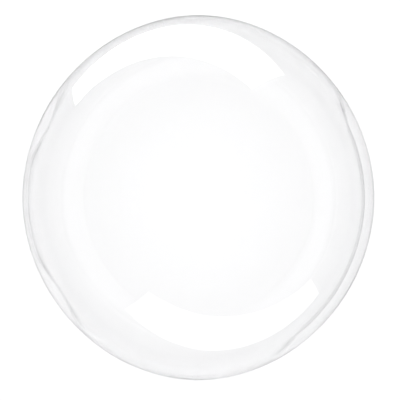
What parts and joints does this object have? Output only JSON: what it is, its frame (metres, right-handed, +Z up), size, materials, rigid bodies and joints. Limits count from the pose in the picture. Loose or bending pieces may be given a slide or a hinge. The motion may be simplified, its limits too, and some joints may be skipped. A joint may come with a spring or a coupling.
{
  "type": "clear bubble balloon",
  "caption": "Near-spherical balloon of clear glossy film, sealed, with a level weld between its two panels and a short trimmed neck; lies on a small flat spot.",
  "frame": {"origin": "on the ground, under the middle of the bounding box, with the balloon lying on its back panel", "axes": "+Y from the neck to the crown, +Z up through the front panel, +X to the right as seen from above with the crown at the top"},
  "size_m": [0.4578, 0.4862, 0.4556],
  "materials": {
    "clear_film": "clear, colourless, glossy thin film"
  },
  "bodies": {
    "root": {"envelope": "clear_film"}
  },
  "joints": []
}
